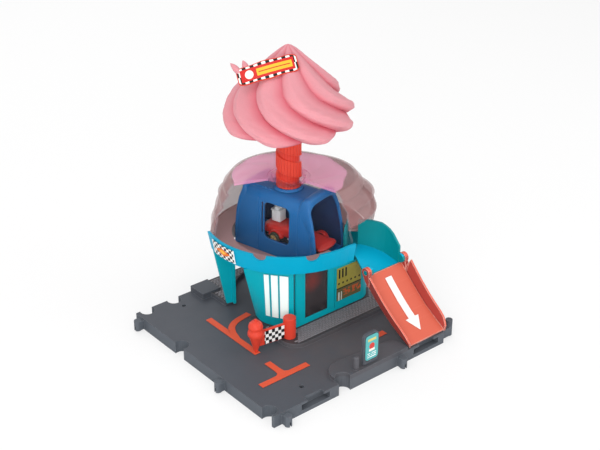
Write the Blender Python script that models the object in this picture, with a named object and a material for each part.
"""Toy car track set: a tray base with a round tower, a lift cab on a screw column,
a swirl knob that raises it, a chute, a folding ramp, a swinging gate and a toy car.

Metres, +Z up. The origin is on the tower's axis at the underside of the base.
The front of the base faces -Y. Azimuths are counted from +Y towards +X.
"""
import math

import bmesh
import bpy
import numpy as np
from mathutils import Matrix, Vector

# General fits
GAP = 0.0003
OVERRUN = 0.002
STICKER = 0.0004
ROUND_STEPS = 32

# Base tray
BASE_WIDTH = 0.1900
BASE_DEPTH = 0.1977
BASE_HEIGHT = 0.0112
BASE_SKIN = 0.0022
BASE_RIM = 0.0030
TOWER_FROM_RIGHT = 0.0605
TOWER_FROM_BACK = 0.0582
TOWER_FROM_LEFT = BASE_WIDTH - TOWER_FROM_RIGHT
TOWER_FROM_FRONT = BASE_DEPTH - TOWER_FROM_BACK
RIB = 0.0016
POCKET_COUNTS = (9, 9)

# Edge sockets and clips of the base, placed from its edges
SOCKET_RADIUS = 0.0067
SOCKET_INSET = 0.0025
FRONT_SOCKET_X = 0.0744
LEFT_SOCKET_LOW_Y = 0.0090
LEFT_SOCKET_MID_FROM_BACK = 0.0677
BACK_SOCKET_LEFT_X = 0.0105
BACK_SOCKET_RIGHT_X = 0.0395
CLIP_NECK = 0.0050
CLIP_NECK_WIDTH = 0.0060
CLIP_POST_RADIUS = 0.0032
CLIP_HEIGHT = 0.0095
CLIP_LIFT = 0.0008
CLIP_SLIT = 0.0016
CLIP_FRONT_LEFT_X = 0.0105
CLIP_FRONT_RIGHT_X = 0.1365
CLIP_LEFT_LOW_Y = 0.0675
CLIP_LEFT_HIGH_FROM_BACK = 0.0097
CLIP_RIGHT_Y = 0.0065
CLIP_RIGHT_NECK = 0.0125
CLIP_RIGHT_HEIGHT = 0.0155
SLOT_LENGTH = 0.0300
SLOT_DEPTH = 0.0065
SLOT_LOW = 0.0032
SLOT_MOUTH = 0.0180
SLOT_MOUTH_DEPTH = 0.0045
SLOT_LEFT_X = 0.0435
SLOT_RIGHT_X = 0.1685
PEG_HOLE_RADIUS = 0.0021
PEG_HOLE_FRONT_X = 0.0428
PEG_HOLE_FRONT_Y = 0.0174
PEG_HOLE_BACK_X = 0.0405
PEG_HOLE_BACK_FROM_BACK = 0.0167
BOSS_RADIUS = 0.0045

# Raised pavement round the tower, and the pit that the lift cab drops into
PAVEMENT_HEIGHT = 0.0040
PAVEMENT_FRONT = 0.0795
PAVEMENT_LEFT = 0.0605
PAVEMENT_CORNER = 0.0150
PIT_RADIUS = 0.0512
ENTRY_HALF_WIDTH = 0.0175
STEP_WIDTH = 0.0095
STEP_LENGTH = 0.0200
STEP_EXTRA = 0.0020

# Kerb along the front edge with its post and its sign board
KERB_HEIGHT = 0.0033
KERB_START_X = 0.0680
KERB_LENGTH = 0.0780
KERB_DEPTH = 0.0225
KERB_SHARES = (
    (0.02, 0.0), (0.0, 0.25), (0.01, 0.55), (0.06, 0.82), (0.14, 0.98), (0.22, 1.0),
    (0.34, 0.97), (0.52, 0.90), (0.71, 0.86), (0.88, 0.82), (0.96, 0.70), (1.0, 0.42), (1.0, 0.0),
)
KERB_SEAM = 0.0006
POST_RADIUS = 0.0025
POST_HEIGHT = 0.0120
POST_X = 0.0905
KERB_ITEM_Y = 0.0045
BOARD_WIDTH = 0.0164
BOARD_HEIGHT = 0.0290
BOARD_THICKNESS = 0.0030
BOARD_X = 0.1060
BOARD_CORNER = 0.0040
BOARD_BORDER = 0.0013
BOARD_FOOT = 0.0040

# Tower walls
WALL = 0.0022
WALL_HALF = 0.0569
WALL_RIGHT = 0.0525
WALL_CORNER = 0.0160
WALL_RIGHT_END_Y = 0.0220
SLIT_X = 0.0400
SLIT_WIDTH = 0.0030
DOOR_LEFT_X = 0.0285
DOOR_RIGHT_X = 0.0025
DOOR_SILL = 0.0055
DOOR_LINTEL = 0.0040
DOOR_PANE = 0.0012
SEAM_X = 0.0055
SEAM_WIDTH = 0.0008
POSTER_LEFT_X = 0.0075
POSTER_WIDTH = 0.0285
POSTER_LIFT = 0.0090
POSTER_HEIGHT = 0.0330
STRIPED_FOOT_SHARES = (
    (-0.940, -0.335), (-0.966, -0.470), (-0.955, -0.600), (-0.905, -0.730),
    (-0.835, -0.850), (-0.775, -0.940), (-0.731, -1.0),
)
STRIPED_TOP_SHARES = (
    (-1.240, -0.440), (-1.125, -0.540), (-1.020, -0.650), (-0.930, -0.755),
    (-0.840, -0.860), (-0.775, -0.945), (-0.731, -1.0),
)
STRIPE_SPAN_SHARES = ((0.40, 0.50), (0.545, 0.68), (0.72, 0.90))
STRIPE_NAMES = ("stripe_left", "stripe_middle", "stripe_right")
STRIPE_LOW_SHARE = 0.17
STRIPE_HIGH_SHARE = 0.93
PILLAR_INNER = 0.0560
PILLAR_FOOT = 0.0625
PILLAR_TOP = 0.0732
PILLAR_BACK_TOP = 0.0690
PILLAR_THICKNESS = 0.0024
PILLAR_FLANGE = 0.0090
PILLAR_AZIMUTHS_DEG = (284.0, 326.0, 22.0, 78.0)
PILLAR_NAMES = ("left_pillar", "back_left_pillar", "back_right_pillar", "right_pillar")

# Ring band round the tower's front, with an inner flange, and the smaller band round its back
RING_RADIUS = 0.0765
RING_FOOT_RADIUS = 0.0732
RING_WALL = 0.0024
RING_LOW = 0.0722
RING_HEIGHT = 0.0175
RING_FLANGE = 0.0018
RING_FLANGE_INNER = 0.0530
RING_START_DEG = 176.0
RING_END_DEG = 287.5
RING_TAIL = 0.0065
RING_TAIL_SPREAD = 0.0010
NOTCH_RADIUS = 0.0062
NOTCH_AZIMUTHS_DEG = (238.6, 203.5)
BADGE_START_DEG = 257.0
BADGE_END_DEG = 279.0
BADGE_MARGIN = 0.0018
BACK_RADIUS = 0.0690
BACK_HEIGHT = 0.0090
BACK_START_DEG = 289.0
BACK_END_DEG = 484.0

# Deck, dome, clear window and frosting cap
DECK_INNER = PIT_RADIUS
DECK_THICKNESS = 0.0018
DECK_START_DEG = 177.0
DECK_END_DEG = 490.0
DOME_WALL = 0.0020
DOME_TOP = 0.1300
DOME_PROFILE_SHARES = (
    (0.0, 1.0), (0.26, 0.985), (0.38, 0.940), (0.45, 0.955), (0.60, 0.880),
    (0.67, 0.895), (0.80, 0.815), (0.87, 0.825), (1.0, 0.745),
)
DOME_RADIUS = 0.0703
HOOD_REACH = 0.0130
HOOD_DEG = 122.0
HOOD_SPREAD_DEG = 52.0
HOOD_SHARES = ((0.0, 0.25), (0.22, 0.45), (0.45, 0.80), (0.70, 1.0), (0.78, 0.70), (0.86, 0.64), (1.0, 0.62))
DOME_WAVE = 0.0013
DOME_WAVES = 7
WINDOW_START_DEG = 167.0
WINDOW_END_DEG = 290.0
EXIT_START_DEG = 132.5
EXIT_END_DEG = 167.0
EXIT_TOP = 0.0990
CAP_THICKNESS = 0.0020
COLLAR_RADIUS = 0.0190
COLLAR_HEIGHT = 0.0030

# Chute from the tower to the ramp
CHUTE_WALL = 0.0021
CHUTE_FLOOR_HIGH = 0.0650
CHUTE_FLOOR_LOW = 0.0565
CHUTE_END_Y = 0.0812
CHUTE_LEFT_SHARES = ((0.345, -0.695), (0.315, -0.790), (0.290, -0.890), (0.276, -1.0))
CHUTE_RIGHT_SHARES = (
    (0.548, -0.532), (0.655, -0.660), (0.722, -0.770), (0.748, -0.880), (0.748, -1.0),
)
CHUTE_TOP_SHARES = (1.0, 1.0, 0.96, 0.80, 0.48)
CHUTE_LUG_RADIUS = 0.0042

# Ramp, hinged at the end of the chute
RAMP_LEFT = 0.0216
RAMP_RIGHT = 0.0614
RAMP_PLATE = 0.0018
RAMP_FLOOR = 0.0020
RAMP_FOOT_Y = 0.1378
RAMP_FOOT_Z = 0.0128
RAMP_CURVE_SHARES = ((0.0, 1.0), (0.2, 0.745), (0.4, 0.515), (0.57, 0.345), (0.72, 0.215), (0.86, 0.105), (1.0, 0.0))
RAMP_RAIL_HIGH = 0.0120
RAMP_RAIL_LOW = 0.0080
RAMP_RAIL_FOOT = 0.0030
RAMP_KEEL_HIGH = 0.0065
RAMP_KEEL_LOW = 0.0012
RAMP_FLARE = 0.0042
RAMP_AXIS_Y = 0.0828
RAMP_AXIS_Z = 0.0612
RAMP_EAR_RADIUS = 0.0046
RAMP_PIN_RADIUS = 0.0020
RAMP_BORE_PLAY = 0.0003
RAMP_NOTCH = 0.0035
ARROW_WIDTH = 0.0060
ARROW_HEAD_WIDTH = 0.0135
ARROW_POINT = 0.0004
ARROW_HEAD_SHARE = 0.20
ARROW_STEP_SHARE = 0.002
ARROW_START_SHARE = 0.12
ARROW_END_SHARE = 0.86

# Gate: a sleeve that swings on a pin, a panel and a cone with a ball
GATE_X = 0.0515
GATE_Y = 0.0635
GATE_SLEEVE_RADIUS = 0.0055
GATE_SLEEVE_HEIGHT = 0.0195
GATE_SLEEVE_TOP = 0.0030
GATE_PIN_RADIUS = 0.0022
GATE_PIN_PLAY = 0.0003
GATE_REACH = 0.0333
GATE_YAW_DEG = 8.0
GATE_PANEL_THICKNESS = 0.0024
GATE_PANEL_LOW = 0.0010
GATE_PANEL_HEIGHT = 0.0140
GATE_CONE_TIP = 0.0015
GATE_CONE_RIM = 0.0062
GATE_CONE_HEIGHT = 0.0190
GATE_LIP = 0.0008
GATE_LIP_HEIGHT = 0.0022
GATE_BALL_RADIUS = 0.0064
GATE_BALL_RISE = 0.0055
GATE_NIPPLE = 0.0016

# Screw column, guide bush and lift travel
COLUMN_RADIUS = 0.0113
COLUMN_RIB_DEPTH = 0.0006
COLUMN_GROOVE_DEPTH = 0.0022
COLUMN_LEAD = 0.0206
COLUMN_GROOVE = 0.0068
COLUMN_SPIGOT_RADIUS = 0.0070
COLUMN_SPIGOT_HEIGHT = 0.0110
COLUMN_RIBS = 12
COLUMN_FOOT_RADIUS = 0.0065
COLUMN_FOOT = 0.0050
BUSH_WALL = 0.0028
BUSH_HEIGHT = 0.0034
LIFT_TRAVEL = 0.0455

# Swirl knob and its sign
SWIRL_RADIUS = 0.0575
SWIRL_HEIGHT = 0.0718
SWIRL_WALL = 0.0024
SWIRL_LOBES = 8
SWIRL_TWIST_DEG = 84.0
SWIRL_TURN_SHARES = ((0.0, 0.0), (0.08, 0.10), (0.15, 0.22), (0.30, 0.50), (0.45, 0.73), (0.55, 0.83), (0.70, 0.90), (1.0, 1.0))
SWIRL_LEAN_SHARE = 0.72
SWIRL_CREST_SHARES = (0.70, 0.30)
SWIRL_LOBE_SHARE = 0.075
SWIRL_PROFILE_SHARES = (
    (0.0, 0.90), (0.025, 0.965), (0.08, 1.0), (0.17, 1.0), (0.28, 0.94), (0.40, 0.83),
    (0.52, 0.70), (0.64, 0.55), (0.75, 0.41), (0.85, 0.27), (0.93, 0.15), (0.98, 0.06),
)
SWIRL_PLATE = 0.0022
SWIRL_PLATE_SHARE = 0.9
SIGN_LENGTH = 0.0520
SIGN_HEIGHT = 0.0155
SIGN_THICKNESS = 0.0018
SIGN_SIDE = 0.0160
SIGN_FORWARD = 0.0215
SIGN_LIFT = 0.0570
SIGN_FACING_DEG = 222.0
SIGN_LEAN_DEG = 30.0
SIGN_TILT_DEG = 17.0
SIGN_SLANT = 0.0030
SIGN_BORDER = 0.0012
SIGN_PEG_RADIUS = 0.0022
SIGN_PEG_LENGTH = 0.0105
SIGN_PEG_SIDE = 0.0100
SIGN_PEG_LIFT = 0.0010

# Lift cab
CAB_AZIMUTH_DEG = 166.5
CAB_LENGTH = 0.0700
CAB_WIDTH = 0.0432
CAB_FLARE = 0.0102
CAB_FLARE_SHARES = ((0.0, 1.0), (0.3, 0.96), (0.6, 0.78), (0.85, 0.50), (1.0, 0.20))
CAB_LOW = 0.0572
CAB_ROOF = 0.1190
CAB_SHOULDER_DROP = 0.0070
CAB_SHOULDER = CAB_ROOF - CAB_SHOULDER_DROP
CAB_TOP_WIDTH = 0.0400
CAB_WALL = 0.0018
CAB_RIB = 0.0016
CAB_RIB_LENGTH = 0.0050
CAB_FLOOR_TOP = 0.0657
CAB_FLOOR_PLATE = 0.0020
CAB_WINDOW_START = 0.0130
CAB_WINDOW_END = 0.0160
CAB_WINDOW_LOW = 0.0735
CAB_WINDOW_DROP = 0.0100
CAB_WINDOW_HIGH = CAB_ROOF - CAB_WINDOW_DROP
CAB_HUB_RADIUS = 0.0135
LIFT_PLATE_CLEARANCE = 0.0007
CAB_HUB_HEIGHT = 0.0025

# Levels of the lift above the cab
COLUMN_LOW = CAB_ROOF + CAB_HUB_HEIGHT
COLUMN_LENGTH = 0.0575
COLUMN_HIGH = COLUMN_LOW + COLUMN_LENGTH
SWIRL_LOW = COLUMN_HIGH + GAP

# Toy car
CAR_CENTRE = 0.0110
CAR_LENGTH = 0.0680
CAR_WIDTH = 0.0270
CAR_WHEEL_RADIUS = 0.0055
CAR_WHEEL_WIDTH = 0.0042
CAR_TRACK = 0.0268
CAR_WHEELBASE = 0.0340
CAR_AXLE_RADIUS = 0.0009
CAR_AXLE_PLAY = 0.0004
CAR_CHASSIS = 0.0030
CAR_CLEARANCE = 0.0020
CAR_ARCH = 0.0011
CAR_BODY_SHARES = (
    (-0.50, 0.42), (-0.49, 0.78), (-0.40, 0.86), (-0.22, 0.90), (-0.12, 1.0), (0.04, 1.0),
    (0.14, 0.66), (0.30, 0.52), (0.44, 0.34), (0.50, 0.16),
)
CAR_BODY_HEIGHT = 0.0125
ENGINE_SIZE = 0.0104
ENGINE_HEIGHT = 0.0150
ENGINE_SHARE = -0.33

# Road marks
MARK = 0.0002
MARK_WIDTH = 0.0060
MARK_HOOK_LONG = 0.0710
MARK_LEFT_X = 0.0440
MARK_LEFT_Y = 0.0770
MARK_FRONT_X = 0.0170
MARK_FRONT_Y = 0.0385
MARK_FRONT_LONG = 0.0500
MARK_BRANCH = 0.0230
MARK_RAMP_X = 0.1330
MARK_RAMP_Y = 0.0330
MARK_RAMP_LONG = 0.0170


def clear_scene():
    """Empty the file without closing it."""
    for item in list(bpy.data.objects):
        bpy.data.objects.remove(item, do_unlink=True)


def finish(name, colour, roughness=0.4, alpha=1.0):
    """A plain moulded plastic."""
    made = bpy.data.materials.new(name)
    made.use_nodes = True
    shader = made.node_tree.nodes["Principled BSDF"]
    shader.inputs["Base Color"].default_value = (*colour, 1.0)
    shader.inputs["Roughness"].default_value = roughness
    shader.inputs["Metallic"].default_value = 0.0
    shader.inputs["Alpha"].default_value = alpha
    return made


def metal(name, colour):
    """Steel for axles and screws."""
    made = finish(name, colour, 0.3)
    made.node_tree.nodes["Principled BSDF"].inputs["Metallic"].default_value = 1.0
    return made


def box_shape(low, high):
    """A block between two corners."""
    (x0, y0, z0), (x1, y1, z1) = low, high
    return prism_shape([(x0, y0), (x1, y0), (x1, y1), (x0, y1)], z0, z1)


def prism_shape(outline, z0, z1):
    """An outline in plan, drawn up from z0 to z1."""
    count = len(outline)
    verts = [(x, y, z0) for x, y in outline] + [(x, y, z1) for x, y in outline]
    faces = [tuple(range(count))[::-1], tuple(range(count, 2 * count))]
    for i in range(count):
        j = (i + 1) % count
        faces.append((i, j, count + j, count + i))
    return verts, faces


def disc_shape(centre, radius, z0, z1, steps=ROUND_STEPS):
    """An upright round bar."""
    outline = []
    for i in range(steps):
        turn = 2 * math.pi * i / steps
        outline.append((centre[0] + radius * math.cos(turn), centre[1] + radius * math.sin(turn)))
    return prism_shape(outline, z0, z1)


def turned_shape(profile, steps=ROUND_STEPS, closed=False):
    """A profile of (radius, height) turned about Z; ends on the axis become poles."""
    verts = []
    rows = []
    for radius, height in profile:
        if radius == 0:
            rows.append([len(verts)] * steps)
            verts.append((0.0, 0.0, height))
            continue
        rows.append(list(range(len(verts), len(verts) + steps)))
        for i in range(steps):
            turn = 2 * math.pi * i / steps
            verts.append((radius * math.cos(turn), radius * math.sin(turn), height))
    pairs = list(zip(rows, rows[1:]))
    if closed:
        pairs.append((rows[-1], rows[0]))
    faces = []
    for low, high in pairs:
        for i in range(steps):
            j = (i + 1) % steps
            corners = (low[i], low[j], high[j], high[i])
            faces.append(tuple(dict.fromkeys(corners)))
    return verts, [face for face in faces if len(face) > 2]


def shell_shape(outer, inner, wrap=False):
    """A wall between two grids of points, closed along its edges."""
    outer, inner = np.asarray(outer, float), np.asarray(inner, float)
    across, up = outer.shape[:2]
    verts = [tuple(p) for p in outer.reshape(-1, 3)] + [tuple(p) for p in inner.reshape(-1, 3)]
    half = across * up

    def at(side, i, k):
        return side * half + (i % across) * up + k

    faces = []
    spans = across if wrap else across - 1
    for i in range(spans):
        for k in range(up - 1):
            for side in (0, 1):
                faces.append((at(side, i, k), at(side, i + 1, k), at(side, i + 1, k + 1), at(side, i, k + 1)))
        for k in (0, up - 1):
            faces.append((at(0, i, k), at(0, i + 1, k), at(1, i + 1, k), at(1, i, k)))
    if not wrap:
        for i in (0, across - 1):
            for k in range(up - 1):
                faces.append((at(0, i, k), at(0, i, k + 1), at(1, i, k + 1), at(1, i, k)))
    return verts, faces


def moved(shape, matrix):
    """The same shape, placed by a matrix."""
    verts, faces = shape
    return [tuple(matrix @ Vector(v)) for v in verts], faces


def together(*shapes):
    """Several shapes in one mesh, still separate bodies."""
    verts, faces = [], []
    for shape_verts, shape_faces in shapes:
        start = len(verts)
        verts.extend(shape_verts)
        faces.extend(tuple(start + i for i in face) for face in shape_faces)
    return verts, faces


def add_piece(name, shape, look, pivot=None, smooth_deg=35):
    """One named piece; a moving one hangs on the empty of its joint."""
    mesh = bpy.data.meshes.new(name)
    mesh.from_pydata([tuple(v) for v in shape[0]], [], [tuple(f) for f in shape[1]])
    work = bmesh.new()
    work.from_mesh(mesh)
    bmesh.ops.recalc_face_normals(work, faces=work.faces)
    work.to_mesh(mesh)
    work.free()
    piece = bpy.data.objects.new(name, mesh)
    bpy.context.scene.collection.objects.link(piece)
    if look:
        mesh.materials.append(look)
    mesh.shade_smooth()
    mesh.set_sharp_from_angle(angle=math.radians(smooth_deg))
    if pivot:
        mesh.transform(pivot.matrix_world.inverted())
        piece.parent = pivot
    return piece


def shape_with(piece, name, shape, operation="DIFFERENCE", itself=False):
    """Cut a shape out of a piece, or join it on."""
    tool = add_piece(name, shape, None, piece.parent)
    tool.hide_render = True
    tool.display_type = "WIRE"
    step = piece.modifiers.new(name, "BOOLEAN")
    step.operation = operation
    step.solver = "EXACT"
    step.use_self = itself
    step.object = tool
    return tool


def pivot_at(name, place, parent=None):
    """An empty on a joint's axis."""
    empty = bpy.data.objects.new(name, None)
    bpy.context.scene.collection.objects.link(empty)
    matrix = Matrix.Translation(Vector(place))
    empty.parent = parent
    empty.matrix_world = matrix
    bpy.context.view_layer.update()
    return empty


def around(azimuth_deg, radius, height=0.0):
    """A point at an azimuth from +Y towards +X."""
    turn = math.radians(azimuth_deg)
    return (radius * math.sin(turn), radius * math.cos(turn), height)


def along_cab(forward, side, height):
    """A point in the cab's own directions: forward to its exit, side to its left."""
    turn = math.radians(CAB_AZIMUTH_DEG)
    return (
        forward * math.sin(turn) - side * math.cos(turn),
        forward * math.cos(turn) + side * math.sin(turn),
        height,
    )


def cab_matrix():
    """From forward, side and height to the world."""
    ahead, left = Vector(along_cab(1, 0, 0)), Vector(along_cab(0, 1, 0))
    turn = Matrix.Identity(4)
    for row in range(3):
        turn[row][0] = ahead[row]
        turn[row][1] = left[row]
        turn[row][2] = 1.0 if row == 2 else 0.0
    return turn


def from_edges(x, y):
    """A point given from the base's left and front edges."""
    return x - TOWER_FROM_LEFT, y - TOWER_FROM_FRONT


def rounded_rectangle(low, high, radius, steps=6):
    """A rectangle's outline with round corners."""
    (x0, y0), (x1, y1) = low, high
    outline = []
    corners = ((x1 - radius, y0 + radius, -90), (x1 - radius, y1 - radius, 0),
               (x0 + radius, y1 - radius, 90), (x0 + radius, y0 + radius, 180))
    for cx, cy, start in corners:
        for i in range(steps + 1):
            turn = math.radians(start + 90 * i / steps)
            outline.append((cx + radius * math.cos(turn), cy + radius * math.sin(turn)))
    return outline


def curve_through(points, count):
    """Evenly parted points on a smooth curve through a few given ones."""
    points = np.asarray(points, float)
    lengths = np.concatenate([[0.0], np.cumsum(np.linalg.norm(np.diff(points, axis=0), axis=1))])
    ends = np.vstack([2 * points[0] - points[1], points, 2 * points[-1] - points[-2]])
    result = []
    for wanted in np.linspace(0, lengths[-1], count):
        k = min(int(np.searchsorted(lengths, wanted, side="right")) - 1, len(points) - 2)
        t = (wanted - lengths[k]) / (lengths[k + 1] - lengths[k])
        p0, p1, p2, p3 = ends[k:k + 4]
        result.append(0.5 * (2 * p1 + (p2 - p0) * t + (2 * p0 - 5 * p1 + 4 * p2 - p3) * t ** 2
                             + (3 * p1 - p0 - 3 * p2 + p3) * t ** 3))
    return np.array(result)


def offset_path(path, distance):
    """A plan path moved sideways, to the left of its direction."""
    path = np.asarray(path, float)
    step = np.gradient(path, axis=0)
    step /= np.linalg.norm(step, axis=1)[:, None]
    return path + distance * np.stack([-step[:, 1], step[:, 0]], axis=1)


def clip_shape(edge_x, edge_y, out, neck, height):
    """A coupling clip: a neck out of the edge and a round post at its end."""
    across = (-out[1], out[0])
    half = CLIP_NECK_WIDTH / 2
    start = -BASE_RIM / 2
    outline = []
    for reach, side in ((start, -half), (neck, -half), (neck, half), (start, half)):
        outline.append((edge_x + out[0] * reach + across[0] * side, edge_y + out[1] * reach + across[1] * side))
    centre = (edge_x + out[0] * neck, edge_y + out[1] * neck)
    top = CLIP_LIFT + height
    return together(
        prism_shape(outline, CLIP_LIFT + GAP, CLIP_LIFT + CLIP_HEIGHT - 2 * GAP),
        disc_shape(centre, CLIP_POST_RADIUS, CLIP_LIFT, top, 16),
    )


def clip_places():
    """Edge point, outward direction, neck and height of each clip."""
    left, front = -TOWER_FROM_LEFT, -TOWER_FROM_FRONT
    right, back = TOWER_FROM_RIGHT, TOWER_FROM_BACK
    return (
        (left + CLIP_FRONT_LEFT_X, front, (0, -1), CLIP_NECK, CLIP_HEIGHT),
        (left + CLIP_FRONT_RIGHT_X, front, (0, -1), CLIP_NECK, CLIP_HEIGHT),
        (left, front + CLIP_LEFT_LOW_Y, (-1, 0), CLIP_NECK, CLIP_HEIGHT),
        (left, back - CLIP_LEFT_HIGH_FROM_BACK, (-1, 0), CLIP_NECK, CLIP_HEIGHT),
        (right, front + CLIP_RIGHT_Y, (1, 0), CLIP_RIGHT_NECK, CLIP_RIGHT_HEIGHT),
    )


def socket_places():
    """Centres of the round sockets in the edges."""
    left, front = -TOWER_FROM_LEFT, -TOWER_FROM_FRONT
    back = BASE_DEPTH - TOWER_FROM_FRONT
    return (
        (left + FRONT_SOCKET_X, front + SOCKET_INSET),
        (left + SOCKET_INSET, front + LEFT_SOCKET_LOW_Y),
        (left + SOCKET_INSET, back - LEFT_SOCKET_MID_FROM_BACK),
        (left + BACK_SOCKET_LEFT_X, back - SOCKET_INSET),
        (left + BACK_SOCKET_RIGHT_X, back - SOCKET_INSET),
    )


def slot_shapes():
    """The two flat slots in the front edge, each with a mouth in the top skin."""
    shapes = []
    front = -TOWER_FROM_FRONT
    for middle in (SLOT_LEFT_X, SLOT_RIGHT_X):
        x = middle - TOWER_FROM_LEFT
        shapes.append(box_shape((x - SLOT_LENGTH / 2, front - OVERRUN, SLOT_LOW),
                                (x + SLOT_LENGTH / 2, front + SLOT_DEPTH, BASE_HEIGHT - BASE_SKIN)))
        shapes.append(box_shape((x - SLOT_MOUTH / 2, front - OVERRUN, SLOT_LOW + GAP),
                                (x + SLOT_MOUTH / 2, front + SLOT_MOUTH_DEPTH, BASE_HEIGHT + OVERRUN)))
    return shapes


def pocket_shapes():
    """The hollows under the tray, between its ribs and clear of the sockets and slots."""
    left, front = -TOWER_FROM_LEFT + BASE_RIM, -TOWER_FROM_FRONT + BASE_RIM
    width, depth = BASE_WIDTH - 2 * BASE_RIM, BASE_DEPTH - 2 * BASE_RIM
    step_x, step_y = width / POCKET_COUNTS[0], depth / POCKET_COUNTS[1]
    keep = [(x, y, SOCKET_RADIUS + RIB) for x, y in socket_places()]
    keep.append((0.0, 0.0, BOSS_RADIUS + RIB))
    for x, y in peg_places():
        keep.append((x, y, PEG_HOLE_RADIUS + RIB))
    for middle in (SLOT_LEFT_X, SLOT_RIGHT_X):
        for part in (-1, 0, 1):
            keep.append((middle - TOWER_FROM_LEFT + part * SLOT_LENGTH / 2, -TOWER_FROM_FRONT, SLOT_DEPTH + RIB))
    shapes = []
    for i in range(POCKET_COUNTS[0]):
        for j in range(POCKET_COUNTS[1]):
            x0, y0 = left + i * step_x + RIB / 2, front + j * step_y + RIB / 2
            x1, y1 = x0 + step_x - RIB, y0 + step_y - RIB
            blocked = False
            for x, y, reach in keep:
                near_x, near_y = min(max(x, x0), x1), min(max(y, y0), y1)
                blocked = blocked or math.hypot(near_x - x, near_y - y) < reach
            if not blocked:
                shapes.append(box_shape((x0, y0, -OVERRUN), (x1, y1, BASE_HEIGHT - BASE_SKIN)))
    return shapes


def peg_places():
    """Centres of the small peg holes through the tray."""
    return (from_edges(PEG_HOLE_FRONT_X, PEG_HOLE_FRONT_Y), from_edges(PEG_HOLE_BACK_X, BASE_DEPTH - PEG_HOLE_BACK_FROM_BACK))


def pavement_outline():
    """Plan of the raised pavement, with one round corner."""
    right = BASE_WIDTH - TOWER_FROM_LEFT
    back = BASE_DEPTH - TOWER_FROM_FRONT
    outline = [(right, -PAVEMENT_FRONT), (right, back), (-PAVEMENT_LEFT, back)]
    centre = (-PAVEMENT_LEFT + PAVEMENT_CORNER, -PAVEMENT_FRONT + PAVEMENT_CORNER)
    for i in range(9):
        turn = math.radians(180 + 90 * i / 8)
        outline.append((centre[0] + PAVEMENT_CORNER * math.cos(turn), centre[1] + PAVEMENT_CORNER * math.sin(turn)))
    return outline


def kerb_outline():
    """Plan of the kerb: straight at the front edge, curved behind."""
    outline = []
    for along, deep in KERB_SHARES:
        outline.append(from_edges(KERB_START_X + along * KERB_LENGTH, deep * KERB_DEPTH))
    return outline[::-1]


def make_base(look):
    """The tray with its pavement, kerb, sockets, slots and clips, in one moulding."""
    low, high = from_edges(0, 0), from_edges(BASE_WIDTH, BASE_DEPTH)
    tray = add_piece("base_tray", box_shape((*low, 0), (*high, BASE_HEIGHT)), look, smooth_deg=25)
    inside = BASE_HEIGHT - BASE_SKIN / 2
    pavement = prism_shape(pavement_outline(), inside, BASE_HEIGHT + PAVEMENT_HEIGHT)
    shape_with(tray, "pavement_block", pavement, "UNION")
    back = BASE_DEPTH - TOWER_FROM_FRONT
    step_low = (-PAVEMENT_LEFT - STEP_WIDTH, back - STEP_LENGTH, inside)
    step_high = (-PAVEMENT_LEFT + STEP_WIDTH, back - GAP, BASE_HEIGHT + PAVEMENT_HEIGHT + STEP_EXTRA)
    shape_with(tray, "step_block", box_shape(step_low, step_high), "UNION")
    shape_with(tray, "kerb_block", prism_shape(kerb_outline(), inside, BASE_HEIGHT + KERB_HEIGHT), "UNION")
    post_x, post_y = from_edges(POST_X, KERB_ITEM_Y)
    post_low = BASE_HEIGHT + KERB_HEIGHT / 2
    post_high = BASE_HEIGHT + KERB_HEIGHT + POST_HEIGHT
    post = turned_shape([(0, post_low), (POST_RADIUS, post_low), (POST_RADIUS, post_high - POST_RADIUS / 2),
                         (POST_RADIUS * 0.7, post_high - POST_RADIUS / 8), (0, post_high)], 16)
    shape_with(tray, "kerb_post", moved(post, Matrix.Translation((post_x, post_y, 0))), "UNION")
    clips = together(*[clip_shape(*place) for place in clip_places()])
    shape_with(tray, "edge_clips", clips, "UNION", itself=True)
    shape_with(tray, "underside_pockets", together(*pocket_shapes()))
    sockets = [disc_shape(place, SOCKET_RADIUS, -OVERRUN, BASE_HEIGHT + KERB_HEIGHT + OVERRUN, 24)
               for place in socket_places()]
    pegs = [disc_shape(place, PEG_HOLE_RADIUS, -OVERRUN, BASE_HEIGHT + OVERRUN, 16) for place in peg_places()]
    shape_with(tray, "edge_sockets", together(*sockets, *pegs))
    shape_with(tray, "edge_slots", together(*slot_shapes()), itself=True)
    shape_with(tray, "clip_slits", together(*clip_slits()))
    pit = disc_shape((0, 0), PIT_RADIUS, BASE_HEIGHT, BASE_HEIGHT + PAVEMENT_HEIGHT + OVERRUN, 48)
    entry = box_shape((-PAVEMENT_LEFT - OVERRUN, -ENTRY_HALF_WIDTH, BASE_HEIGHT),
                      (0, ENTRY_HALF_WIDTH, BASE_HEIGHT + PAVEMENT_HEIGHT + OVERRUN))
    shape_with(tray, "lift_pit", pit)
    shape_with(tray, "lift_entry", entry)
    seam_x = from_edges(KERB_START_X + KERB_LENGTH / 2, 0)[0]
    seam = box_shape((seam_x - KERB_SEAM / 2, -TOWER_FROM_FRONT - OVERRUN, BASE_HEIGHT),
                     (seam_x + KERB_SEAM / 2, -TOWER_FROM_FRONT + KERB_SEAM, BASE_HEIGHT + KERB_HEIGHT + OVERRUN))
    shape_with(tray, "kerb_seam", seam)
    return tray


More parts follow.
